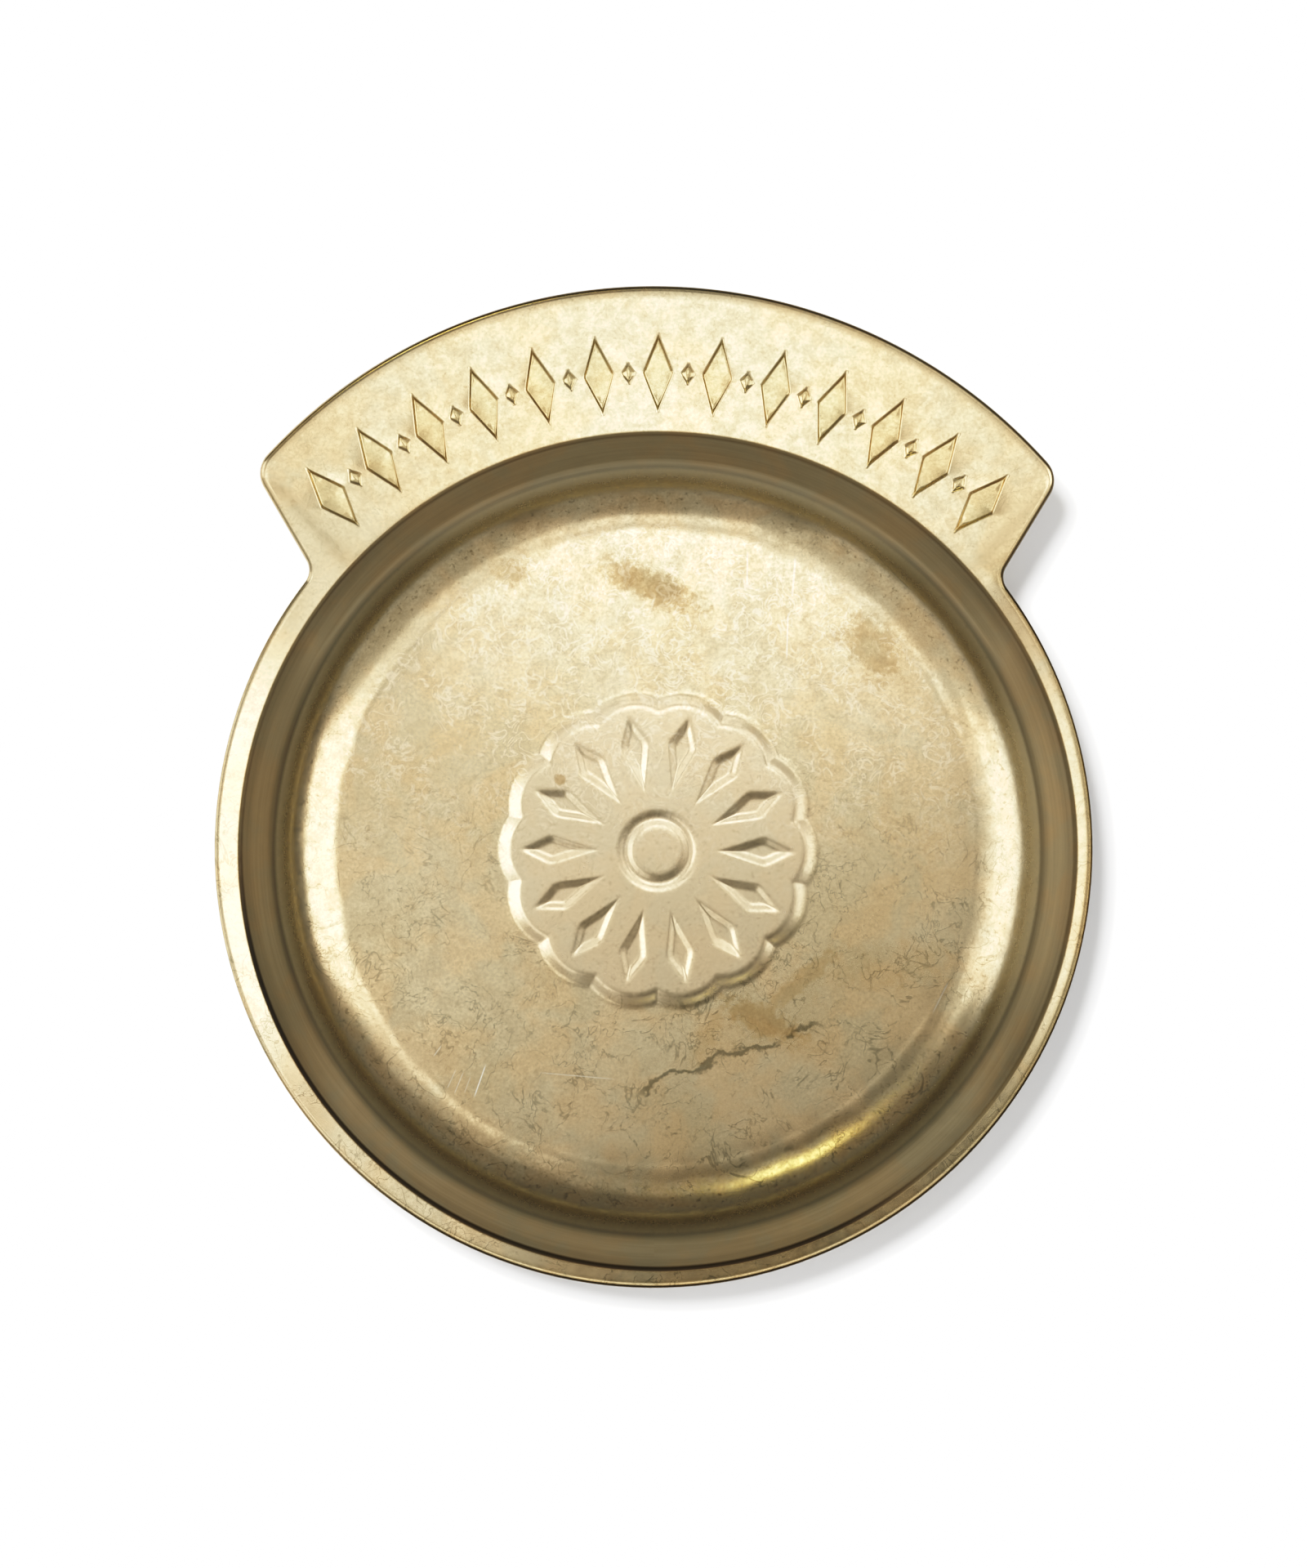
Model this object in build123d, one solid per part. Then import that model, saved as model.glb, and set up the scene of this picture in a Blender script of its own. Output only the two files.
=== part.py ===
from build123d import *
import math
import os

# A coin tray, pressed from one sheet of brass. It stands the way it is used: the dish opens up, +Z is up,
# and the crown-shaped tab points along +Y. The origin is the centre of the round dish, on the surface that
# the tray stands on. All lengths are in millimetres and all angles in degrees.

# The sheet and the round of the tray
sheet = 0.64
rim_diameter = 132.0
rim_width = 3.0
dish_depth = 13.0

# The trim tool cut the rim and the tab a little off the centre of the drawn dish
trim_shift_x = -0.64
trim_shift_y = 0.35

# The bend from plate to wall, measured on the upper face, and how steep the wall is
corner_radius = 10.9
wall_slope = 52.5

# The edge, turned down all round the rim and the tab
edge_radius = 0.95
edge_drop = 1.8

# The tab: how far it stands out of the round rim, how far above the rim's centre its arched top is struck
# from, the half angle between its corners there, and how much its sides lean in
tab_height = 18.6
tab_arc_rise = 5.3
tab_half_span = 49.9
tab_side_lean = 30.7
tab_corner_radius = 4.1
tab_neck_radius = 2.8

# The row that is pressed into the tab: tall lozenges, with a small diamond between each two
lozenge_count = 13
lozenge_length = 12.0
lozenge_width = 4.8
lozenge_depth = 0.5
lozenge_slope = 0.55
diamond_length = 3.4
diamond_width = 2.4
diamond_depth = 0.4
diamond_slope = 0.4
row_gap = 2.5
row_span_share = 0.86

# The round medallion that is pressed into the plate, with a ring and a rosette left standing in it
medallion_diameter = 49.0
medallion_depth = 0.5
medallion_slope = 0.9
lobe_count = 14
lobe_height = 1.1
petal_length = 12.4
petal_width = 4.8
petal_waist_share = 0.6
petal_gap = 1.3
ring_diameter = 12.4
ring_width = 2.6
relief_height = 0.4
relief_slope = 0.6

# What a cutting body runs past the face that it cuts
overrun = 1.0

# Heights, from the surface that the tray stands on: the underside of the pressed medallion
plate_top = medallion_depth + sheet
rim_top = plate_top + dish_depth
rim_radius = rim_diameter / 2
mouth_radius = rim_radius - rim_width
rim_centre = Vector(trim_shift_x, trim_shift_y)


def polar(centre, radius, turn):
    """The point at a radius from a centre, turned clockwise from +Y as seen from above."""
    angle = math.radians(turn)
    return Vector(centre.X + radius * math.sin(angle), centre.Y + radius * math.cos(angle))


def dish_solid():
    """The drawn dish as a body of revolution: flat plate, corner bend and flared wall, up to the mouth,
    where the sheet bends level about its own underside. Each line of the underside is one sheet from the
    line above it."""
    slope = math.radians(wall_slope)
    up_wall = Vector(math.cos(slope), 0, math.sin(slope))
    off_wall = Vector(-math.sin(slope), 0, math.cos(slope))
    mouth_under = Vector(mouth_radius, 0, rim_top - sheet)
    wall_top = mouth_under + off_wall * sheet
    wall_rise = wall_top.Z - plate_top - corner_radius * (1 - math.cos(slope))
    wall_foot = wall_top - up_wall * (wall_rise / math.sin(slope))
    corner_centre = wall_foot + off_wall * corner_radius

    def corner(radius):
        middle = Vector(math.sin(slope / 2), 0, -math.cos(slope / 2)) * radius
        return corner_centre - Vector(0, 0, radius), corner_centre + middle, corner_centre - off_wall * radius

    upper_start, upper_middle, upper_end = corner(corner_radius)
    under_start, under_middle, under_end = corner(corner_radius + sheet)
    section = [
        Polyline(under_start, Vector(0, 0, under_start.Z), Vector(0, 0, plate_top), upper_start),
        ThreePointArc(upper_start, upper_middle, upper_end),
        Polyline(upper_end, wall_top, Vector(mouth_radius, 0, rim_top), mouth_under, under_end),
        ThreePointArc(under_end, under_middle, under_start),
    ]
    return revolve(make_face(Curve() + section), Axis.Z, 360)


def trimmed_outline():
    """The outline of rim and tab: a circle, joined to a tab with an arched top and two sides that lean in
    towards the rim, with rounded corners above and a rounded neck where each side meets the rim."""
    arc_centre = rim_centre + Vector(0, tab_arc_rise)
    tab_arc_radius = rim_radius + tab_height - tab_arc_rise
    left_corner = polar(arc_centre, tab_arc_radius, -tab_half_span)
    right_corner = polar(arc_centre, tab_arc_radius, tab_half_span)
    crown = polar(arc_centre, tab_arc_radius, 0)
    side_drop = right_corner.Y - rim_centre.Y
    foot_step = Vector(side_drop * math.tan(math.radians(tab_side_lean)), side_drop)
    right_foot = right_corner - foot_step
    left_foot = left_corner - Vector(-foot_step.X, foot_step.Y)
    edges = [
        ThreePointArc(left_corner, crown, right_corner),
        Line(right_corner, right_foot),
        Line(right_foot, left_foot),
        Line(left_foot, left_corner),
    ]
    outline = Pos(rim_centre) * Circle(rim_radius) + make_face(Curve() + edges)
    necks = outline.vertices().sort_by(Axis.Y)[-4:-2]
    outline = fillet(necks, tab_neck_radius)
    corners = outline.vertices().sort_by(Axis.Y)[-2:]
    return fillet(corners, tab_corner_radius)


def rim_solid():
    """The flat rim and tab with their edge turned down: a block that is rounded above, less a smaller block
    one sheet inside it, less the mouth of the dish."""
    outline = trimmed_outline()
    block = extrude(Pos(0, 0, rim_top) * outline, -edge_drop)
    block = fillet(block.edges().group_by(Axis.Z)[-1], edge_radius)
    core = extrude(Pos(0, 0, rim_top - sheet) * offset(outline, -sheet), -edge_drop)
    mouth = Pos(0, 0, rim_top) * Cylinder(mouth_radius, edge_drop + overrun)
    return block - core - mouth


def kite(length, width, waist_share=1 / 2):
    """A pointed four-sided outline along the Y axis, widest at a share of its length from its lower tip."""
    waist = (waist_share - 1 / 2) * length
    tip, side = Vector(0, length / 2), Vector(width / 2, waist)
    return make_face(Polyline(-tip, side, tip, Vector(-side.X, side.Y), close=True))


def scalloped(radius):
    """A round face whose edge is a ring of equal lobes, each one arc between two cusps."""
    step = 360 / lobe_count
    edges = []
    for lobe in range(lobe_count):
        start = polar(Vector(), radius - lobe_height, -lobe * step)
        crest = polar(Vector(), radius, -(lobe + 1 / 2) * step)
        end = polar(Vector(), radius - lobe_height, -(lobe + 1) * step)
        edges.append(ThreePointArc(start, crest, end))
    return make_face(Curve() + edges)


def raised(outline, height, slope):
    """A low body on the XY plane whose sides lean in, each by the same slope width."""
    return extrude(outline, height, taper=math.degrees(math.atan(slope / height)))


def row_stamps():
    """The pockets of the tab, on a circle about the rim's centre: each a low body hung upside down from
    the upper face."""
    row_radius = mouth_radius + row_gap + lozenge_length / 2
    hung = Pos(0, row_radius, rim_top) * Rot(180, 0, 0)
    lozenge = hung * raised(kite(lozenge_length, lozenge_width), lozenge_depth, lozenge_slope)
    diamond = hung * raised(kite(diamond_length, diamond_width), diamond_depth, diamond_slope)
    row_half_span = row_span_share * tab_half_span
    step = 2 * row_half_span / (lozenge_count - 1)
    stamps = []
    for place in range(lozenge_count):
        stamps.append(Pos(rim_centre) * Rot(0, 0, row_half_span - place * step) * lozenge)
    for place in range(lozenge_count - 1):
        stamps.append(Pos(rim_centre) * Rot(0, 0, row_half_span - (place + 1 / 2) * step) * diamond)
    return stamps


def medallion_stamp():
    """The pocket of the plate: a scalloped round, less a ring and the petals of a rosette, one petal to
    each lobe, which stay standing in it."""
    medallion_radius = medallion_diameter / 2
    floor = Pos(0, 0, plate_top - medallion_depth)
    foot = scalloped(medallion_radius - medallion_slope)
    stamp = loft([floor * foot, Pos(0, 0, plate_top) * scalloped(medallion_radius)], ruled=True)
    petal = raised(kite(petal_length, petal_width, petal_waist_share), relief_height, relief_slope)
    petal_radius = medallion_radius - lobe_height - medallion_slope - petal_gap - petal_length / 2
    step = 360 / lobe_count
    for lobe in range(lobe_count):
        stamp -= floor * Rot(0, 0, (lobe + 1 / 2) * step) * Pos(0, petal_radius, 0) * petal
    ring_radius = ring_diameter / 2
    hollow_radius = ring_radius - ring_width
    upright = (Align.CENTER, Align.CENTER, Align.MIN)
    ring = Cone(ring_radius, ring_radius - relief_slope, relief_height, align=upright)
    ring -= Cone(hollow_radius, hollow_radius + relief_slope, relief_height, align=upright)
    return stamp - floor * ring


# The press moves the sheet down without making it thicker, so each pocket of the upper face stands out
# of the underside, one sheet lower down.
stamps = row_stamps() + [medallion_stamp()]
tray = dish_solid() + rim_solid()
tray += [Pos(0, 0, -sheet) * stamp for stamp in stamps]
tray -= stamps
print("tray", tray.is_valid, tray.volume, tray.bounding_box())

os.makedirs("parts", exist_ok=True)
export_step(tray, "parts/tray_pressing.step")
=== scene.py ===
import bpy
import math
import numpy as np
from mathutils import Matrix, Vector


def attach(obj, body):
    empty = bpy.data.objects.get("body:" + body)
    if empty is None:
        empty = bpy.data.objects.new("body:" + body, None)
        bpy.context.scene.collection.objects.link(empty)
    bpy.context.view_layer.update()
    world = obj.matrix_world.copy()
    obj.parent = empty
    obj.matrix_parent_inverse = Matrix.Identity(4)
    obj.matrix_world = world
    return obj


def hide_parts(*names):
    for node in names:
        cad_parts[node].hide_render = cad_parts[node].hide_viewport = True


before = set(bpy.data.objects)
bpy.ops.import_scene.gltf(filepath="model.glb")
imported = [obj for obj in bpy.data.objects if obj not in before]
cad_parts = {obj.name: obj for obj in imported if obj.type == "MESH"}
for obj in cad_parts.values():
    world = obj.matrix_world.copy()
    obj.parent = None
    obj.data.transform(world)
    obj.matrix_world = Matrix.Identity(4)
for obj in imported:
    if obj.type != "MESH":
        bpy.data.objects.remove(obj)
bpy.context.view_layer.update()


# The camera hangs straight above the tray, far off, as a long lens does.
# It is turned half a degree, because the tray lay turned by that much under it.
mm = 0.001
camera_height = 1.0
rim_height = 14.14 * mm
view_width = 196.25 * mm
view_centre = (-0.74 * mm, 10.1 * mm)
turn_in_picture = 0.55
camera = bpy.data.objects.new("camera", bpy.data.cameras.new("camera"))
bpy.context.scene.collection.objects.link(camera)
bpy.context.scene.camera = camera
camera.data.sensor_fit = "HORIZONTAL"
camera.data.lens = camera.data.sensor_width * camera_height / view_width
camera.location = (*view_centre, rim_height + camera_height)
camera.rotation_euler = (0, 0, math.radians(turn_in_picture))
camera.data.clip_end = 10


# The tray is one sheet of brass, pressed in one stroke: a round dish, a narrow level rim and a wide tab.
# Its surface is worked out as one grid. Columns run clockwise round the tray from the middle of the tab.
# Rows run over the sheet: out over the upper face, round the turned edge and back under it.

# Sizes in millimetres, up from the floor and out from the dish's axis. The rim's centre lies off that axis.
sheet = 0.64
dish_depth = 13.0
medallion_depth = 0.5
plate_top = medallion_depth + sheet
rim_top = plate_top + dish_depth
mouth_radius = 63.0
rim_radius = 66.0
trim_shift = np.array([-0.64, 0.35])

# The columns, and the turn from one lozenge of the tab's row to the next. Half a cell holds the columns from
# a lozenge's axis to the axis of the diamond beside it, and angles are in degrees.
tab_half_span = 49.9
row_share_of_tab = 0.86
lozenge_count = 13
cell_turn = 2 * row_share_of_tab * tab_half_span / (lozenge_count - 1)
half_cell = 10
tab_columns = half_cell * lozenge_count
side_columns = 36
columns = 462


def polar(radius, turn):
    """Plan points at a radius, turned clockwise from +Y by an angle in degrees."""
    angle = np.radians(turn)
    return np.stack([radius * np.sin(angle), radius * np.cos(angle)], axis=-1)


# The outline of rim and tab: half of it, from the top of the tab to the foot of the rim, as a chain of
# arcs and one line. The other half is its mirror image.
tab_arc_rise = 5.3
tab_arc_radius = 79.3
tab_side_lean = 30.7
corner_fillet = 4.1
neck_fillet = 2.8


def half_outline():
    """Points along half of the outline and the way out from it at each, in order of their turn about the
    rim's centre. A fillet's centre lies one fillet radius from both curves that it joins."""
    arc_centre = np.array([0.0, tab_arc_rise])
    corner = arc_centre + polar(tab_arc_radius, tab_half_span)
    lean = math.radians(tab_side_lean)
    along = np.array([math.sin(lean), math.cos(lean)])
    out = np.array([math.cos(lean), -math.sin(lean)])

    def on_side(centre, radius, offset):
        """The upper crossing of a circle and the side line moved out by an offset."""
        start = corner + out * offset - centre
        half = start @ along
        return centre + start + along * (-half + math.sqrt(half ** 2 - start @ start + radius ** 2))

    corner_centre = on_side(arc_centre, tab_arc_radius - corner_fillet, -corner_fillet)
    neck_centre = on_side(np.zeros(2), rim_radius + neck_fillet, neck_fillet)

    def heading(vector):
        """Turn of a vector, clockwise from +Y."""
        return math.degrees(math.atan2(vector[0], vector[1]))

    side_turn = heading(out)
    corner_start = heading(corner_centre - arc_centre)
    neck_end = heading(neck_centre)

    # Each part is sampled far more closely than the columns stand
    tab_turns = np.linspace(0, corner_start, 4000)
    corner_turns = np.linspace(corner_start, side_turn, 600)
    neck_turns = np.linspace(side_turn, neck_end, 400)
    rim_turns = np.linspace(neck_end, 180, 6000)
    side_ends = np.array([corner_centre + out * corner_fillet, neck_centre - out * neck_fillet])
    side_shares = np.linspace(0, 1, 900)[1:-1, None]
    points = [
        arc_centre + polar(tab_arc_radius, tab_turns),
        corner_centre + polar(corner_fillet, corner_turns[1:]),
        side_ends[0] * (1 - side_shares) + side_ends[1] * side_shares,
        neck_centre - polar(neck_fillet, neck_turns[:-1]),
        polar(rim_radius, rim_turns),
    ]
    ways = [
        polar(1, tab_turns),
        polar(1, corner_turns[1:]),
        np.broadcast_to(out, (len(side_shares), 2)),
        polar(1, neck_turns[:-1]),
        polar(1, rim_turns),
    ]
    return np.concatenate(points), np.concatenate(ways)


outline_points, outline_ways = half_outline()
outline_turns = np.degrees(np.arctan2(outline_points[:, 0], outline_points[:, 1]))

# The way along the outline, counted longer where it bends, so that columns crowd together there
bend_weight = 2.0
step = np.hypot(*np.diff(outline_points, axis=0).T)
bend = np.hypot(*np.diff(outline_ways, axis=0).T)
walked = np.concatenate([[0], np.cumsum(step + bend_weight * bend)])

# Columns stand evenly over the row of lozenges, close together round the tab's corners and necks, and then
# spread out along the rim
tab_end = cell_turn * tab_columns / (2 * half_cell)
side_end = 56.0
side_walk = np.interp([tab_end, side_end], outline_turns, walked)
side_turns = np.interp(np.linspace(*side_walk, side_columns + 1), walked, outline_turns)
rim_columns = columns // 2 - tab_columns - side_columns
crowding = 0.05
crowding_reach = 0.08
rim_share = np.linspace(0, 1, rim_columns + 1)
rim_share = rim_share - crowding * (1 - np.exp(-rim_share / crowding_reach))
rim_turns = side_end + (180 - side_end) * rim_share / rim_share[-1]
half_turns = np.concatenate([np.arange(tab_columns) * tab_end / tab_columns, side_turns[:-1], rim_turns])
turns = np.concatenate([half_turns, 360 - half_turns[-2:0:-1]])
even_turns = np.arange(columns) * 360 / columns

# Each column counted both ways from the middle of the tab, and its turn on the half outline
from_middle = (np.arange(columns) + columns // 2) % columns - columns // 2
mirror = np.where(from_middle < 0, -1, 1)
half_turn_of = np.where(turns > 180, 360 - turns, turns)

# The same turns seen from the dish's axis, which lies a little off the rim's centre
turn_angle = np.radians(turns)
sidestep = trim_shift[0] * np.cos(turn_angle) - trim_shift[1] * np.sin(turn_angle)
mouth_turns = turns + np.degrees(np.arcsin(sidestep / mouth_radius))


def along_outline(values):
    """A quantity of the half outline, looked up at each column's turn and mirrored for the left half."""
    found = np.stack([np.interp(half_turn_of, outline_turns, values[:, i]) for i in range(2)], axis=-1)
    found[:, 0] *= mirror
    return found


edge_points = along_outline(outline_points)
edge_ways = along_outline(outline_ways)
edge_ways /= np.linalg.norm(edge_ways, axis=1, keepdims=True)


# The row that is stamped into the tab: tall lozenges, with a small diamond between each two
lozenge = np.array([2.4, 6.0])
diamond = np.array([1.2, 1.7])
stamp_slope = 0.4
gap_to_mouth = 2.5
row_radius = mouth_radius + gap_to_mouth + lozenge[1]
lozenge_depth = 0.5
diamond_depth = 0.4


def ramp(distance, width):
    """0 outside an outline, 1 from one slope width inside it, and a straight slope between."""
    return np.clip(distance / width, 0, 1)


def swell(distance, width):
    """As ramp, but eased at both ends: 3t^2 - 2t^3."""
    share = np.clip(distance / width, 0, 1)
    return share * share * (3 - 2 * share)


def inside(size, across, along):
    """How far a point lies inside a four-pointed outline: the distance to its nearest straight side."""
    return (1 - np.abs(across) / size[0] - np.abs(along) / size[1]) * size[0] * size[1] / math.hypot(*size)


def row_depth(x, y):
    """Depth of the stamps in the tab: each stamp's own straight-sided pocket, turned to its place on the
    circle about the rim's centre."""
    radius = np.hypot(x - trim_shift[0], y - trim_shift[1])
    turn = np.degrees(np.arctan2(x - trim_shift[0], y - trim_shift[1]))
    last = lozenge_count // 2
    depth = np.zeros_like(radius)
    for size, deep, shift, most in (
        (lozenge, lozenge_depth, 0, last),
        (diamond, diamond_depth, 0.5, last - 1),
    ):
        place = np.clip(np.round(turn / cell_turn - shift), -most - (shift > 0), most) + shift
        off = np.radians(turn - place * cell_turn)
        across, along = radius * np.sin(off), radius * np.cos(off) - row_radius
        depth = np.maximum(depth, deep * ramp(inside(size, across, along), stamp_slope))
    return depth


# The medallion that is pressed into the plate: a scalloped round with a ring and a rosette left standing.
# A petal is a kite between two tips on a radius, widest at its waist.
medallion_radius = 24.5
medallion_border = 0.6
medallion_slope = 2.3
lobe_count = 14
lobe_height = 1.1
petal_tips = (8.8, 21.2)
petal_waist = 16.24
petal_half_width = 2.4
ring_radii = (3.6, 6.2)
relief_height = 0.22
relief_slope = 1.35


def medallion_sink(x, y):
    """Depth of the medallion: its pocket with a scalloped edge of equal arcs, less the ring and the petals of
    the rosette, which rise from its floor."""
    radius = np.hypot(x, y)
    lobe = 360 / lobe_count

    # The turn from the middle of the nearest lobe: two lobes meet on +Y
    off = (np.degrees(np.arctan2(x, y)) + lobe / 2) % lobe - lobe / 2
    off = np.where(off > 0, off - lobe / 2, off + lobe / 2)
    across, along = radius * np.sin(np.radians(off)), radius * np.cos(np.radians(off))
    half_chord = (medallion_radius - lobe_height) * math.sin(math.radians(lobe / 2))
    rise = medallion_radius - (medallion_radius - lobe_height) * math.cos(math.radians(lobe / 2))
    lobe_radius = (half_chord ** 2 + rise ** 2) / (2 * rise)
    in_lobe = lobe_radius - np.hypot(across, along - (medallion_radius - lobe_radius))
    pocket = swell(np.maximum(in_lobe, medallion_radius - 3 * lobe_height - radius), medallion_slope)

    def inside_petal(tip):
        """How far a point lies inside the straight side that runs from a petal's waist to one of its tips."""
        run = abs(tip - petal_waist)
        short_of_waist = (petal_waist - along) * np.sign(tip - petal_waist)
        short_of_side = petal_half_width - np.abs(across)
        return (short_of_side * run + short_of_waist * petal_half_width) / math.hypot(run, petal_half_width)

    petals = swell(np.minimum(inside_petal(petal_tips[1]), inside_petal(petal_tips[0])), relief_slope)
    ring = swell(np.minimum(ring_radii[1] - radius, radius - ring_radii[0]), relief_slope)
    return medallion_depth * pocket - relief_height * np.maximum(petals, ring)


# The dish: level plate, a round corner, a straight wall and the small shoulder at the mouth
corner_radius = 11.4
wall_slope = 53.6
shoulder_radius = 0.7
drift_reach = 21.0
wall_rise = dish_depth - (corner_radius + shoulder_radius) * (1 - math.cos(math.radians(wall_slope)))
wall_run = wall_rise / math.tan(math.radians(wall_slope))


def dish_profile(face, counts):
    """Radius and height of the dish's upper face along its section: a level line, a hollow arc up to the
    wall's slope, the straight wall, and a round shoulder back to level, each tangent to the next. Face 1 is
    the underside, one sheet off along the normal. Counts are the rows of medallion, plate, corner, wall and
    shoulder."""
    medallion_rows, plate_rows, corner_rows, wall_rows, shoulder_rows = counts
    steep = math.radians(wall_slope)
    corner_turns = np.linspace(0, steep, corner_rows + 1)[1:]
    shoulder_turns = np.linspace(steep, 0, shoulder_rows + 1)[1:]
    wall_shares = np.linspace(0, 1, wall_rows + 1)[1:]
    corner_r = corner_radius * np.sin(corner_turns)
    corner_z = corner_radius * (1 - np.cos(corner_turns))
    wall_r = corner_r[-1] + wall_run * wall_shares
    wall_z = corner_z[-1] + wall_rise * wall_shares
    shoulder_r = wall_r[-1] + shoulder_radius * (math.sin(steep) - np.sin(shoulder_turns))
    shoulder_z = wall_z[-1] + shoulder_radius * (np.cos(shoulder_turns) - math.cos(steep))
    foot = mouth_radius - shoulder_r[-1]
    medallion_edge = medallion_radius + medallion_border
    level = np.concatenate([
        np.linspace(0, medallion_edge, medallion_rows + 1)[1:],
        np.linspace(medallion_edge, foot, plate_rows + 1)[1:],
    ])
    radius = np.concatenate([level, foot + corner_r, foot + wall_r, foot + shoulder_r])
    height = plate_top + np.concatenate([np.zeros_like(level), corner_z, wall_z, shoulder_z])
    wall_slopes = np.full_like(wall_shares, steep)
    slope = np.concatenate([np.zeros_like(level), corner_turns, wall_slopes, shoulder_turns])
    return radius + face * sheet * np.sin(slope), height - face * sheet * np.cos(slope)


def dish_rows(face, counts):
    """The section turned about the dish's axis. Columns stand evenly round the medallion and drift over the
    level plate to the turns that the rim needs."""
    radius, height = dish_profile(face, counts)
    drift = swell(radius - medallion_radius - medallion_border, drift_reach)[:, None]
    turn = even_turns + (mouth_turns - even_turns) * drift
    plan = polar(radius[:, None], turn)
    depth = medallion_sink(plan[..., 0], plan[..., 1])
    return np.concatenate([plan, height[:, None, None] - depth[..., None]], axis=-1)


# Rim and tab: level sheet from the mouth to the turned edge. Over the tab the rows and columns follow the
# outlines of the stamps, so that each stamp keeps crisp sides.
edge_radius = 0.95
edge_drop = 1.8
lip_radius = 0.15
round_rows = 6
hair = 0.1
least_widths = np.array([0.06, 0.12, 0.20, 0.30, 0.38])


def tip_distances(size):
    """How far a stamp's tip lies from its centre at five levels: a hair inside its floor, on the floor, half
    way up the slope, on the outline, and a hair outside it."""
    shift = stamp_slope / math.sin(math.atan2(size[0], size[1]))
    return [size[1] - shift - hair, size[1] - shift, size[1] - shift / 2, size[1], size[1] + hair]


# The rows over the stamps, by their distance from the middle line of the row of stamps
half_band = np.array([0, 0.45, *tip_distances(diamond), 2.9, 3.9, *tip_distances(lozenge)])
band = np.concatenate([-half_band[:0:-1], half_band])


def stamp_widths(size, along):
    """Half widths of a stamp in each row at the same five levels, and never under the least ones, which keep
    the columns apart past its tips."""
    sideways = stamp_slope / math.cos(math.atan2(size[0], size[1]))
    outline = size[0] * (1 - np.abs(along) / size[1])
    widths = [outline - sideways - hair, outline - sideways, outline - sideways / 2, outline, outline + hair]
    return np.maximum(np.stack(widths, axis=-1), least_widths)


def band_points():
    """Plan points of the rows over the stamps, for the tab's columns: ten steps from a lozenge's axis to the
    axis of the diamond beside it."""
    place = np.clip(from_middle, -tab_columns, tab_columns)
    cell = np.round(place / (2 * half_cell))
    within = (place - 2 * half_cell * cell).astype(int)
    radius = (row_radius + band)[:, None]
    tall = np.degrees(np.arctan2(stamp_widths(lozenge, band), radius))
    small = cell_turn / 2 - np.degrees(np.arctan2(stamp_widths(diamond, band), radius))
    axis = np.zeros((len(band), 1))
    steps = np.concatenate([axis, tall, small[:, [4, 3, 2, 1]], axis + cell_turn / 2], axis=1)
    turn = cell * cell_turn + np.sign(within) * steps[:, np.abs(within)]
    return polar(radius, turn)


def rim_rows(face):
    """Level rows from the mouth to the turned edge. Beyond the tab each column goes out in the same shares as
    at the tab's last column, and swings to its place on the outline late, with the square of the share."""
    mouth = polar(mouth_radius, mouth_turns) - trim_shift
    brink = edge_points - edge_radius * edge_ways
    reach = np.linalg.norm(brink[tab_columns]) - mouth_radius
    shares = ((row_radius + band - mouth_radius) / reach)[:, None]
    start, end = np.hypot(*mouth.T), np.hypot(*brink.T)
    swing = (np.degrees(np.arctan2(*brink.T)) - turns + 180) % 360 - 180
    straight = polar(start + shares * (end - start), turns + shares ** 2 * swing)
    in_tab = np.abs(from_middle) <= tab_columns
    middle = np.where(in_tab[:, None], band_points(), straight)
    inner_shares = np.array([0.3, 0.65])[:, None, None]
    outer_shares = np.linspace(0, 1, 6)[1:, None, None]
    plan = np.concatenate([
        mouth + inner_shares * (middle[0] - mouth),
        middle,
        middle[-1] + outer_shares * (brink - middle[-1]),
    ]) + trim_shift
    depth = row_depth(plan[..., 0], plan[..., 1])
    return np.concatenate([plan, rim_top - face * sheet - depth[..., None]], axis=-1)


def edge_rows():
    """The turned edge: a quarter round down to a short skirt, a lip one sheet thick with worn corners, and
    the inner face of skirt and round."""
    turn = np.radians(np.linspace(0, 90, round_rows + 1)[1:])
    lip_turn = np.radians([30, 60, 90])
    inner_turn = np.radians([90, 60, 30])
    inner_radius = edge_radius - sheet
    foot = rim_top - edge_drop
    lip_inset = lip_radius * (1 - np.cos(lip_turn))
    lip_height = foot + lip_radius * (1 - np.sin(lip_turn))
    inset = np.concatenate([
        edge_radius * (1 - np.sin(turn)), [0],
        lip_inset, sheet - lip_inset[::-1], [sheet],
        edge_radius - inner_radius * np.sin(inner_turn),
    ])
    height = np.concatenate([
        rim_top - edge_radius * (1 - np.cos(turn)), [foot + lip_radius],
        lip_height, lip_height[::-1], [foot + lip_radius],
        rim_top - edge_radius + inner_radius * np.cos(inner_turn),
    ])
    plan = edge_points - inset[:, None, None] * edge_ways + trim_shift
    return np.concatenate([plan, np.broadcast_to(height[:, None, None], plan.shape[:2] + (1,))], axis=-1)


upper_counts = (50, 8, 14, 4, 5)
under_counts = (30, 4, 8, 3, 3)
upper = np.concatenate([dish_rows(0, upper_counts), rim_rows(0)])
under = np.concatenate([dish_rows(1, under_counts), rim_rows(1)])
round_edge = edge_rows()
rows = np.concatenate([upper, round_edge, under[::-1]])
centre_top = [0, 0, plate_top - medallion_depth]
centre_under = [0, 0, 0]
points = np.concatenate([[centre_top], rows.reshape(-1, 3), [centre_under]]) * mm

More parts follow.
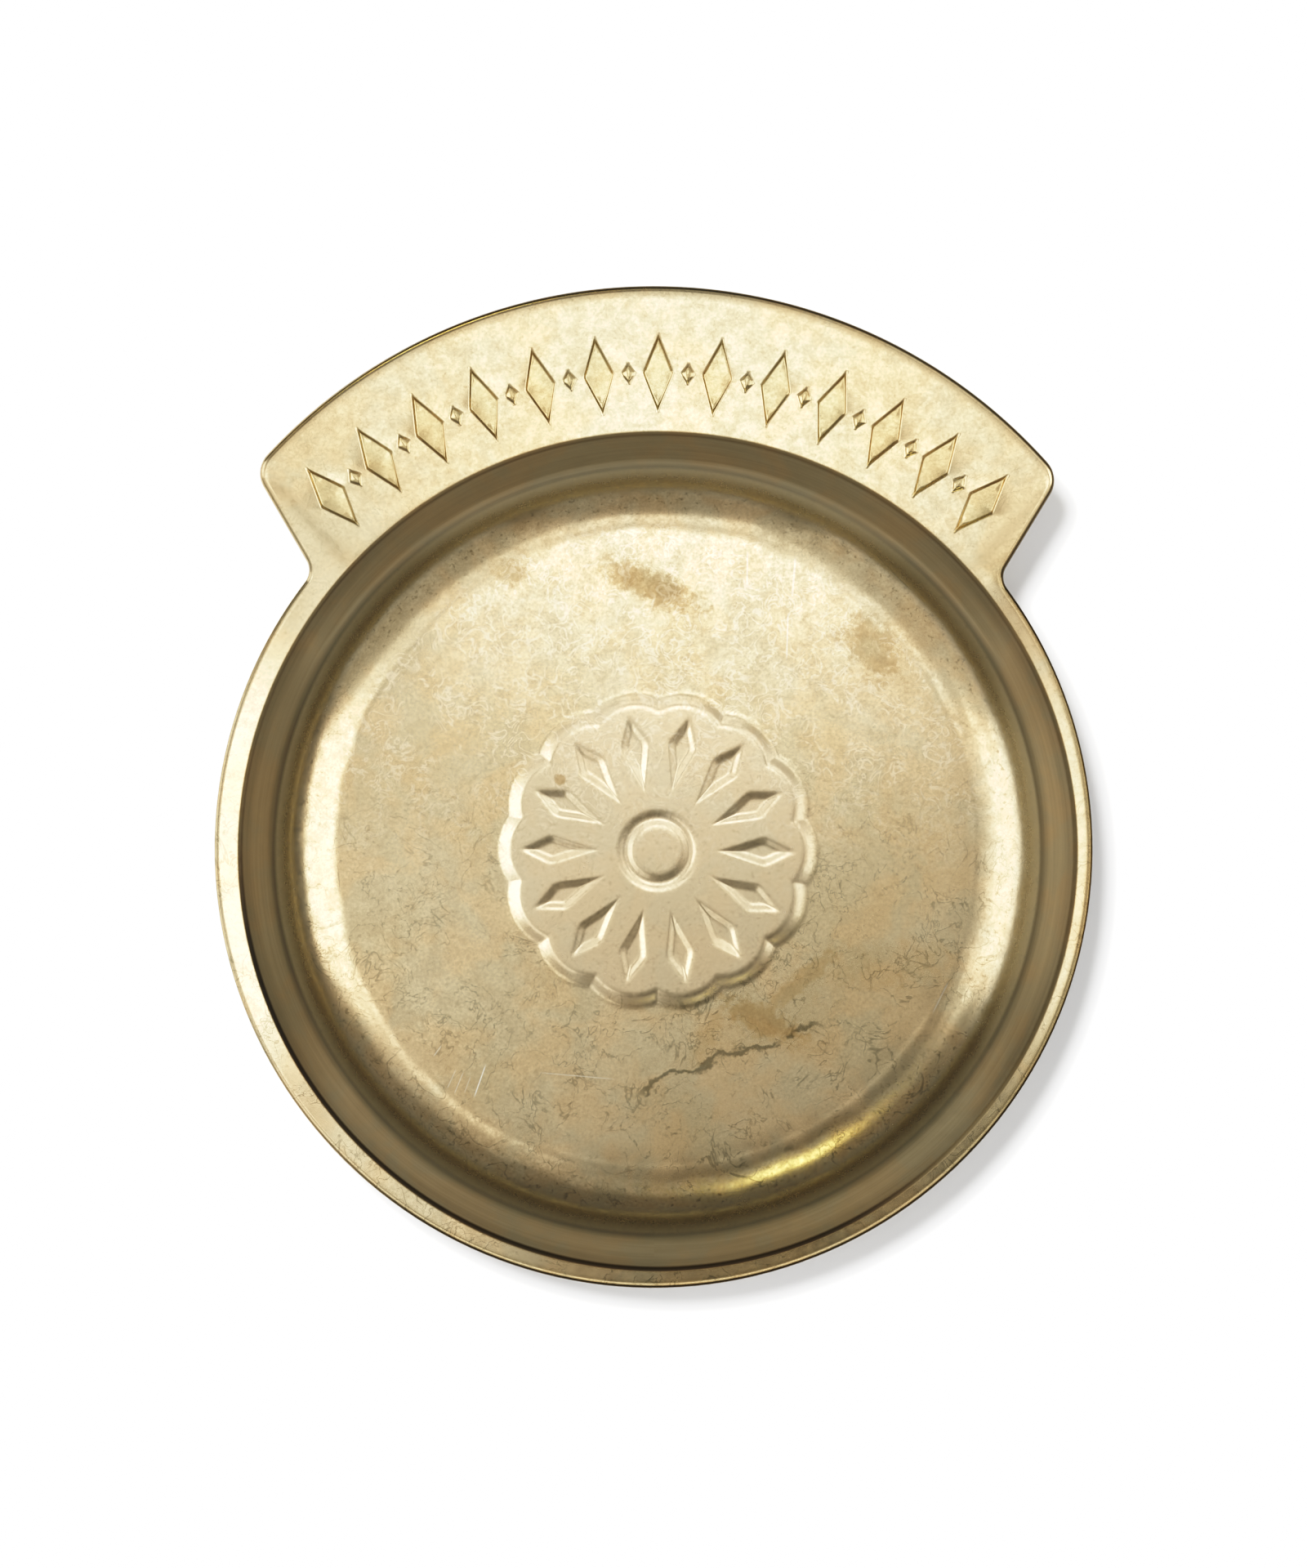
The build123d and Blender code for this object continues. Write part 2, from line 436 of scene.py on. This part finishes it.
# A quad between each two rows and columns, and a fan of triangles at the centre of either face
row, column = np.meshgrid(np.arange(len(rows) - 1), np.arange(columns), indexing="ij")
beside = (column + 1) % columns
quads = 1 + np.stack([
    row * columns + column, row * columns + beside,
    (row + 1) * columns + beside, (row + 1) * columns + column,
], axis=-1).reshape(-1, 4)
first = 1 + np.arange(columns)
final = first + (len(rows) - 1) * columns
top_fan = np.stack([np.zeros_like(first), 1 + first % columns, first], axis=-1)
beside_final = 1 + (len(rows) - 1) * columns + first % columns
under_fan = np.stack([np.full_like(first, len(points) - 1), final, beside_final], axis=-1)
mesh = bpy.data.meshes.new("tray_brass")
mesh.from_pydata(points.tolist(), [], quads.tolist() + top_fan.tolist() + under_fan.tolist())
mesh.polygons.foreach_set("use_smooth", np.ones(len(mesh.polygons), bool))

# Two values of each point that the finish follows: how far it lies round the turned edge, and how deep it
# lies in a stamp of the tab
turned = np.zeros(len(points))
edge_start = 1 + len(upper) * columns
turned[edge_start:edge_start + len(round_edge) * columns] = 1
round_shares = np.arange(1, round_rows + 1) / round_rows
turned[edge_start:edge_start + round_rows * columns] = np.repeat(round_shares, columns)
stamped = np.concatenate([[0], row_depth(rows[..., 0], rows[..., 1]).ravel(), [0]]) / lozenge_depth
for name, values in (("turned", turned), ("stamped", stamped)):
    mesh.attributes.new(name, "FLOAT", "POINT").data.foreach_set("value", values)
mesh.update()
tray = bpy.data.objects.new("tray_brass", mesh)
bpy.context.scene.collection.objects.link(tray)


# The finish: bare brass, handled for years. A tan patina lies on the plate in blotches and a fine grain,
# the wall is burnished smooth by the die, and brown shade is painted into the bends.
class Wire:
    """A socket of a material's nodes. Arithmetic on wires and numbers adds Math nodes."""

    def __init__(self, tree, socket=None):
        self.tree = tree
        self.socket = socket

    def node(self, kind, settings, inputs, output=0):
        """Adds a node: its settings first, then a value or a link for each input."""
        made = self.tree.nodes.new("ShaderNode" + kind)
        for name, setting in settings.items():
            setattr(made, name, setting)
        for place, value in inputs.items():
            if isinstance(value, Wire):
                self.tree.links.new(value.socket, made.inputs[place])
            else:
                made.inputs[place].default_value = value
        return Wire(self.tree, made.outputs[output] if made.outputs else None)

    def number(self, value):
        """A number that is the same everywhere, for a mask to grow from."""
        made = self.node("Value", {}, {})
        made.socket.default_value = value
        return made

    def reckon(self, operation, first, second):
        return self.node("Math", {"operation": operation}, {0: first, 1: second})

    def __add__(self, other):
        return self.reckon("ADD", self, other)

    def __sub__(self, other):
        return self.reckon("SUBTRACT", self, other)

    def __rsub__(self, other):
        return self.reckon("SUBTRACT", other, self)

    def __mul__(self, other):
        return self.reckon("MULTIPLY", self, other)

    def __abs__(self):
        return self.reckon("ABSOLUTE", self, 0.0)

    __radd__ = __add__
    __rmul__ = __mul__

    def larger(self, other):
        return self.reckon("MAXIMUM", self, other)

    def eased(self, start, end):
        """0 at the start value, 1 at the end value, with a smooth step between."""
        return self.node("MapRange", {"interpolation_type": "SMOOTHSTEP"}, {0: self, 1: start, 2: end})

    def band(self, start, full, fading, end):
        """0 up to the start value, 1 from full to fading, 0 from the end on, with smooth steps between."""
        return self.eased(start, full) * (1 - self.eased(fading, end))

    def axis(self, letter):
        """One number of a vector: X, Y or Z."""
        return self.node("SeparateXYZ", {}, {0: self}, letter)

    def joined(self, operation, other):
        """This vector and another one, added, subtracted or multiplied part by part."""
        return self.node("VectorMath", {"operation": operation}, {0: self, 1: other})

    def scaled(self, factor):
        return self.node("VectorMath", {"operation": "SCALE"}, {0: self, "Scale": factor})

    def direction(self):
        """This vector, made 1 long."""
        return self.node("VectorMath", {"operation": "NORMALIZE"}, {0: self})

    def length(self):
        return self.node("VectorMath", {"operation": "LENGTH"}, {0: self}, "Value")

    def moved(self, centre, degrees, size):
        """The place seen from a centre, turned, and measured in half sizes, whatever its height."""
        return self.node("Mapping", {"vector_type": "TEXTURE"}, {
            "Vector": self, "Location": (*centre, 0), "Rotation": (0, 0, math.radians(degrees)),
            "Scale": (*size, 1000)})

    def noise(self, per_mm, detail=2.0, rough=0.5, twist=0.0):
        """Cloudy noise over a place given in millimetres: 0.5 in the middle, with lumps 1 / per_mm wide."""
        return self.node("TexNoise", {}, {
            "Vector": self, "Scale": per_mm, "Detail": detail, "Roughness": rough, "Distortion": twist})

    def tinted(self, share, colour):
        """This colour, mixed with another by a share."""
        return self.node("Mix", {"data_type": "RGBA"}, {0: share, 6: self, 7: (*colour, 1)}, 2)

    def darkened(self, share, colour):
        """This colour, multiplied by another by a share."""
        return self.node("Mix", {"data_type": "RGBA", "blend_type": "MULTIPLY"}, {
            0: share, 6: self, 7: (*colour, 1)}, 2)


brass = bpy.data.materials.new("brass")
brass.use_nodes = True
brass.node_tree.nodes.clear()
start = Wire(brass.node_tree)

# The place in millimetres, its distance from the dish's axis, and its turn about it, clockwise from +Y
place = start.node("TexCoord", {}, {}, "Object").scaled(1 / mm)
flat_place = place.joined("MULTIPLY", (1, 1, 0))
radius = flat_place.length()
across = place.axis("X")
along = place.axis("Y")
turn = start.reckon("ARCTAN2", across, along)
edge = start.node("Attribute", {"attribute_name": "turned"}, {}, "Fac")
stamp = start.node("Attribute", {"attribute_name": "stamped"}, {}, "Fac")

# The kinds of surface, from the medallion outwards, by their radius in millimetres. Only the wall, which the
# die has polished, has no texture.
on_medallion = 1 - radius.eased(22.6, 24.4)
on_plate = 1 - radius.eased(48.0, 51.0)
in_bend = radius.eased(48.5, 54.5)
on_wall = radius.band(57.5, 58.1, 62.9, 63.2)
matt_wall = radius.band(55.5, 58.5, 62.9, 63.2)
# Painted shade lies in the next two bands: just under the rim, and at the mouth's crease.
painted_shade_under_rim = radius.band(60.5, 62.0, 62.4, 63.1)
crease = radius.band(62.2, 62.6, 62.9, 63.3)
beyond_mouth = radius.eased(62.9, 63.2)
textured = 1 - on_wall

# The sides of the tray, by which the marks, the rim's flare and the painted shade differ. They go by shares
# of the mouth's radius, the upper half by millimetres, and the tab by its turn.
share_up = along * (1 / mouth_radius)
upper_half = along.eased(-10.0, 18.0)
at_top = share_up.eased(0.2, 0.65)
at_crown = share_up.eased(0.65, 0.85)
at_sides = abs(across * (1 / mouth_radius)).eased(0.72, 0.90)
at_left = (across * (-1 / mouth_radius)).eased(0.5, 0.9)
lower_left = ((along + across * 0.45) * (-1 / mouth_radius)).eased(0.3, 0.75)
tab_side = 1 - abs(turn).eased(0.78, 0.92)

# Painted shade: brown and dark in the bend, darker on the wall at the top and at the two sides, and dark on
# the brink of the rim
painted_bend_brown = radius.band(53.6, 55.8, 57.4, 59.0)
painted_bend_shade = radius.band(54.0, 56.4, 57.7, 59.4) * (1 - 0.7 * at_crown)
painted_wall_shade = (at_top * radius.eased(58.6, 59.4)).larger(at_sides * radius.eased(55.5, 57.0)) * on_wall
rim_radius_here = flat_place.joined("SUBTRACT", (*trim_shift, 0)).length()
painted_rim_brink_shade = rim_radius_here.eased(64.4, 65.6) * (1 - tab_side) * (1 - at_left)

# The patina's texture, from wide blotches to a fine grain, dark specks, and the die's streaks round the wall
blotch = place.noise(0.11, 3.0, 0.55, 0.4).eased(0.40, 0.60)
shade = place.noise(0.045, 3.0, 0.55).eased(0.36, 0.64)
cloud = place.noise(0.42, 4.0, 0.6).eased(0.36, 0.64)
grain = place.noise(1.9, 2.0, 0.6).eased(0.32, 0.68)
speck = place.noise(1.2, 3.0, 0.65).eased(0.58, 0.67) * (0.35 + 0.65 * in_bend) * textured
round_wall = start.node("CombineXYZ", {}, {"X": radius * 3.0, "Y": turn * 2.5})
streak = round_wall.noise(1.0, 3.0, 0.6).eased(0.3, 0.7) * on_wall

# The shine shows that the real plate is a little hollow, uneven near its foot, and that rim and tab flare.
# The mesh is level there, and the shading normal leans inward by these slopes instead.
plate_foot = 47.3
hollow_per_mm = 0.00212
least_hollow = 0.033
unevenness = 0.17
rim_flare = 0.27
more_at_sides = 0.15
less_on_tab = 0.145
uneven = (place.noise(0.12, 3.0) - 0.5) * radius.eased(44.0, 49.0)
corner_slope = (radius - plate_foot).larger(0.0) * (1 / corner_radius)
hollow = (radius * hollow_per_mm - corner_slope).larger(least_hollow * radius.eased(20.0, 40.0))
hollow = hollow + uneven * unevenness
flare = rim_flare + more_at_sides * at_sides * (1 - tab_side) - less_on_tab * tab_side
lean = hollow * (1 - radius.eased(55.0, 58.0)) + beyond_mouth * flare
facing = start.node("TexCoord", {}, {}, "Normal")
up_or_down = start.node("Math", {"operation": "SIGN"}, {0: facing.axis("Z")})
inward = flat_place.direction().scaled(lean * up_or_down * -1.0)
leant = facing.joined("ADD", inward).direction()

# Hairlines are the places where a slow noise crosses its middle, broken up by a second noise. The scribbles
# on the upper plate are wide pale ones.
hairline = start.number(0.0)
for shift, per_mm, width in (
    (0.0, 0.10, 0.009),
    (40.0, 0.15, 0.012),
    (90.0, 0.22, 0.016),
    (130.0, 0.13, 0.010),
):
    seen = place.joined("ADD", (shift, shift, shift))
    vein = abs(seen.noise(per_mm, 4.0, 0.5, 0.8) - 0.5)
    hairline = hairline.larger((1 - vein.eased(0.0, width)) * seen.noise(0.10, 2.0, 0.5).eased(0.47, 0.58))
hairline = hairline * textured * (1 - 0.7 * upper_half) * (1 - 0.8 * on_medallion)
pale_vein = abs(place.noise(0.36, 2.0, 0.5, 1.6) - 0.5)
scribble = (1 - pale_vein.eased(0.004, 0.05)) * upper_half * on_plate * place.noise(0.2).eased(0.35, 0.55)

# One long crack-like line in the lower plate: a straight stroke, bowed and broken up by noise. Its length is
# in half lengths of 15.5 mm, and its width in metres.
crack_path = place.moved((11.0, -31.2), 21.0, (15.5, 1000.0))
crack_bow = (place.noise(0.14, 5.0, 0.6) - 0.5) * 0.011 + crack_path.axis("Y")
crack_reach = 1 - abs(crack_path.axis("X")).eased(0.85, 1.05)
crack = (1 - abs(crack_bow).eased(0.0002, 0.0008)) * crack_reach * place.noise(0.5, 2.0).eased(0.25, 0.38)

# Stains of brown tarnish: soft ovals with ragged borders, given by centre, direction, half sizes and weight
stain = start.number(0.0)
ragged = (place.noise(0.7, 4.0, 0.7) - 0.5) * 2.2
for centre, degrees, size, weight in (
    ((-1.3, 40.2), -22.0, (7.5, 2.2), 0.85),
    ((32.2, 31.2), -50.0, (5.5, 3.6), 0.7),
    ((16.0, -25.6), -24.0, (7.0, 2.4), 1.0),
    ((21.5, -20.0), 40.5, (8.5, 1.7), 0.8),
    ((8.0, -28.0), 63.0, (6.0, 1.5), 0.5),
    ((34.0, -17.0), 4.0, (11.0, 3.5), 0.4),
    ((-14.9, 10.6), 0.0, (0.9, 0.7), 1.2),
    ((-23.0, 42.0), 0.0, (2.6, 1.8), 0.6),
    ((20.0, -24.0), 20.0, (9.0, 5.0), 0.25),
):
    oval = place.moved(centre, degrees, size).length() + ragged
    stain = stain.larger((1 - oval.eased(0.5, 1.4)) * weight)

# Scratches: straight strokes, given likewise. The fresh ones are bright, and the two old ones in the bend,
# which have a weight below 0, are black.
scratch = start.number(0.0)
old_scratch = scratch
for centre, degrees, size, weight in (
    ((-26.7, -35.3), 71.0, (2.9, 0.13), 1.0),
    ((-29.9, -35.6), 68.0, (2.0, 0.10), 0.5),
    ((-31.0, -35.0), 66.0, (1.8, 0.10), 0.4),
    ((-28.6, -35.9), 70.0, (1.5, 0.09), 0.4),
    ((-11.9, -34.4), -4.4, (6.5, 0.10), 0.45),
    ((-33.2, -30.8), 55.0, (1.1, 0.10), 0.5),
    ((43.2, -22.0), 64.0, (2.9, 0.16), 0.4),
    ((13.2, 42.9), 90.0, (3.1, 0.18), 0.35),
    ((20.3, 41.8), 86.0, (3.3, 0.22), 0.35),
    ((19.4, 32.8), 89.0, (4.0, 0.16), 0.4),
    ((29.3, 47.8), -38.0, (3.6, 0.14), -0.8),
    ((35.1, 42.7), -45.5, (4.4, 0.16), -1.0),
):
    seen = place.moved(centre, degrees, size)
    far = abs(seen.axis("X")).eased(0.6, 1.0)
    wide = abs(seen.axis("Y")).eased(0.3, 1.0)
    stroke = (1 - far) * (1 - wide) * abs(weight)
    if weight > 0:
        scratch = scratch.larger(stroke)
    else:
        old_scratch = old_scratch.larger(stroke)
dark_line = (hairline * 0.7).larger(crack).larger(old_scratch)

# The patina's two tones, its texture and marks, then wall, bends, rim, edge and stamps
colour = start.node("Mix", {"data_type": "RGBA"}, {
    0: blotch, 6: (0.81, 0.612, 0.345, 1), 7: (0.745, 0.612, 0.370, 1)}, 2)
colour = colour.darkened(shade * textured, (0.94, 0.92, 0.88))
colour = colour.darkened(cloud * textured * (1 - 0.5 * beyond_mouth), (0.84, 0.83, 0.82))
colour = colour.darkened(grain * textured * (1 - 0.5 * on_medallion - 0.5 * beyond_mouth), (0.84, 0.83, 0.82))
colour = colour.tinted(on_medallion * 0.4, (0.76, 0.61, 0.40))
colour = colour.tinted(scribble * 0.7, (0.89, 0.73, 0.48))
colour = colour.darkened(stain, (0.60, 0.53, 0.44))
colour = colour.darkened(speck * (0.8 - 0.5 * beyond_mouth), (0.48, 0.47, 0.44))
colour = colour.darkened(dark_line * 0.9, (0.34, 0.37, 0.38))
colour = colour.tinted(scratch, (1.0, 0.93, 0.75))
# Painted shade: the bend is tinted brown and dark
colour = colour.tinted(painted_bend_brown * 0.85, (0.52, 0.48, 0.34))
colour = colour.darkened(on_wall, (0.61, 0.65, 0.72))
# Painted shade: darker in the bend, weaker at the top
colour = colour.darkened(painted_bend_shade, (0.50, 0.49, 0.46))
# Painted shade on the wall at the top and at the two sides
colour = colour.darkened(painted_wall_shade, (0.62, 0.60, 0.56))
colour = colour.darkened(streak * 0.5, (0.75, 0.75, 0.75))
# Painted shade just under the rim, except at the top
colour = colour.darkened(painted_shade_under_rim * (1 - at_crown), (0.78, 0.78, 0.78))
# Painted shade: the crease at the mouth is painted dark brown, and blackest at the lower left
colour = colour.darkened(crease, (0.50, 0.44, 0.34))
colour = colour.darkened(crease * lower_left, (0.16, 0.13, 0.08))
colour = colour.darkened(beyond_mouth * tab_side, (0.90, 0.90, 0.88))
# Painted shade on the rim's brink, except on the tab and at the left
colour = colour.darkened(painted_rim_brink_shade, (0.60, 0.57, 0.50))
# Painted shade: the turned edge is painted near black, half as dark at the left
colour = colour.darkened(edge.eased(0.22, 0.50) * (1 - 0.5 * at_left), (0.11, 0.10, 0.075))
# Painted shade in the stamps' pockets
colour = colour.darkened(stamp.eased(0.1, 0.6) * 0.6, (0.78, 0.75, 0.60))

# Clean plate is the shiniest. Clouds, grain, stains, the crease and the matt wall spread the shine.
roughness = 0.175 + 0.06 * cloud + 0.04 * grain + 0.12 * stain + 0.2 * crease + 0.2 * matt_wall
relief = 0.005 * place.noise(0.5, 3.0) + 0.003 * place.noise(1.8, 2.0, 0.6) - 0.004 * dark_line
bump = start.node("Bump", {}, {
    "Height": relief * (0.25 + 0.75 * textured), "Distance": mm, "Strength": 1.0, "Normal": leant}, "Normal")
shader = start.node("BsdfPrincipled", {}, {
    "Base Color": colour, "Metallic": 1 - 0.35 * matt_wall, "Roughness": roughness, "Normal": bump}, "BSDF")
start.node("OutputMaterial", {}, {"Surface": shader})
mesh.materials.append(brass)
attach(tray, "root")
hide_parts("tray_pressing")


# The floor: a wide sheet of plain white paper that the tray lies on. It isn't part of the tray.
floor_reach = 3
floor_corners = [(floor_reach * x, floor_reach * y, 0) for x, y in ((-1, -1), (1, -1), (1, 1), (-1, 1))]
floor_mesh = bpy.data.meshes.new("paper_floor")
floor_mesh.from_pydata(floor_corners, [], [(0, 1, 2, 3)])
floor = bpy.data.objects.new("paper_floor", floor_mesh)
bpy.context.scene.collection.objects.link(floor)
paper = bpy.data.materials.new("paper")
paper.use_nodes = True
paper_inputs = paper.node_tree.nodes["Principled BSDF"].inputs
paper_inputs["Base Color"].default_value = (0.58, 0.58, 0.58, 1)
paper_inputs["Roughness"].default_value = 0.9
floor_mesh.materials.append(paper)


# The light: softboxes on a dome round the tray, strong at its two sides and in front, in a dim white room.
# A key light from the upper left falls on the paper alone, which turns it white round the tray's soft shadow.
dome_radius = 3.0
watts_per_area = 4.0


def softbox(name, tilt, azimuth, wide, tall, strength):
    """A rectangle on the dome that faces the tray, at a tilt from straight up and a compass turn from +Y.
    Its width and height are given as the angles that they span, seen from the tray."""
    from_up, turn = math.radians(tilt), math.radians(azimuth)
    light = bpy.data.lights.new(name, "AREA")
    light.shape = "RECTANGLE"
    light.size = 2 * dome_radius * math.tan(math.radians(wide / 2))
    light.size_y = 2 * dome_radius * math.tan(math.radians(tall / 2))
    light.energy = watts_per_area * light.size * light.size_y * strength
    made = bpy.data.objects.new(name, light)
    bpy.context.scene.collection.objects.link(made)
    made.location = [dome_radius * c for c in (
        math.sin(from_up) * math.sin(turn), math.sin(from_up) * math.cos(turn), math.cos(from_up))]
    made.rotation_euler = (-made.location).to_track_quat("-Z", "Y").to_euler()


# A band is a softbox an eighth of the dome wide, from its lower to its higher tilt, with its strength
softbox("overhead", 0, 0, 12, 12, 0.55)
softbox("front_high", 11.5, 180, 13, 11, 3.0)
half_eighth = math.radians(22.5)
for azimuth, side, bands in (
    (0, "back", ((8, 28, 0.10), (28, 52, 0.25), (52, 84, 0.08))),
    (45, "back_right", ((6, 17, 0.4), (17, 28, 1.15), (28, 52, 0.4), (52, 84, 0.15))),
    (90, "right", ((6, 17, 0.75), (19, 30, 3.2), (30, 66, 2.8), (66, 84, 0.1))),
    (135, "front_right", ((17, 40, 1.0), (40, 84, 0.35))),
    (180, "front", ((17, 28, 0.5), (28, 40, 1.5), (40, 84, 0.25))),
    (225, "front_left", ((6, 17, 0.4), (17, 28, 1.5), (28, 40, 0.5), (40, 84, 0.5))),
    (270, "left", ((6, 17, 0.3), (17, 28, 0.7), (28, 40, 1.3), (40, 66, 2.2), (66, 84, 2.0))),
    (315, "back_left", ((8, 28, 0.10), (28, 52, 0.22), (52, 84, 0.12))),
):
    for low, high, strength in bands:
        tilt = (low + high) / 2
        eighth = 2 * math.degrees(math.atan(math.sin(math.radians(tilt)) * math.tan(half_eighth)))
        softbox("%s_%d" % (side, low), tilt, azimuth, eighth, high - low, strength)

# A small golden card gives the warm glint at the dish's lower right
softbox("gold_card", 47, 335, 11, 10, 4.2)
bpy.data.lights["gold_card"].color = (1.0, 0.92, 0.40)

key_stands_towards = Vector((-0.285, 0.315, 1.0))
key = bpy.data.objects.new("key", bpy.data.lights.new("key", "SUN"))
bpy.context.scene.collection.objects.link(key)
key.data.energy = 8.2
key.data.angle = math.radians(15)
key.rotation_euler = key_stands_towards.to_track_quat("Z", "Y").to_euler()
key_falls_on = bpy.data.collections.new("key_falls_on")
key_falls_on.objects.link(floor)
key.light_linking.receiver_collection = key_falls_on

world = bpy.data.worlds.new("room")
bpy.context.scene.world = world
world.use_nodes = True
room_inputs = world.node_tree.nodes["Background"].inputs
room_inputs["Color"].default_value = (1, 1, 1, 1)
room_inputs["Strength"].default_value = 0.06

# The picture is developed with a soft shoulder, as a camera does: the share of full white is
# 1 - exp(-(light / middle_light) ^ contrast), and all light above white_light is white
middle_light = 0.67
contrast = 1.3
white_light = 1.75
most_light = 3.0
view = bpy.context.scene.view_settings
view.view_transform = "Standard"
view.use_curve_mapping = True
view.curve_mapping.white_level = (most_light, most_light, most_light)
tone = view.curve_mapping.curves[3]
for light in (0.05, 0.1, 0.2, 0.3, 0.45, 0.6, 0.8, 1.0, 1.2, 1.5):
    tone.points.new(light / most_light, 1 - math.exp(-(light / middle_light) ** contrast))
tone.points.new(white_light / most_light, 1.0)
for point in tone.points:
    point.handle_type = "AUTO_CLAMPED"
view.curve_mapping.update()
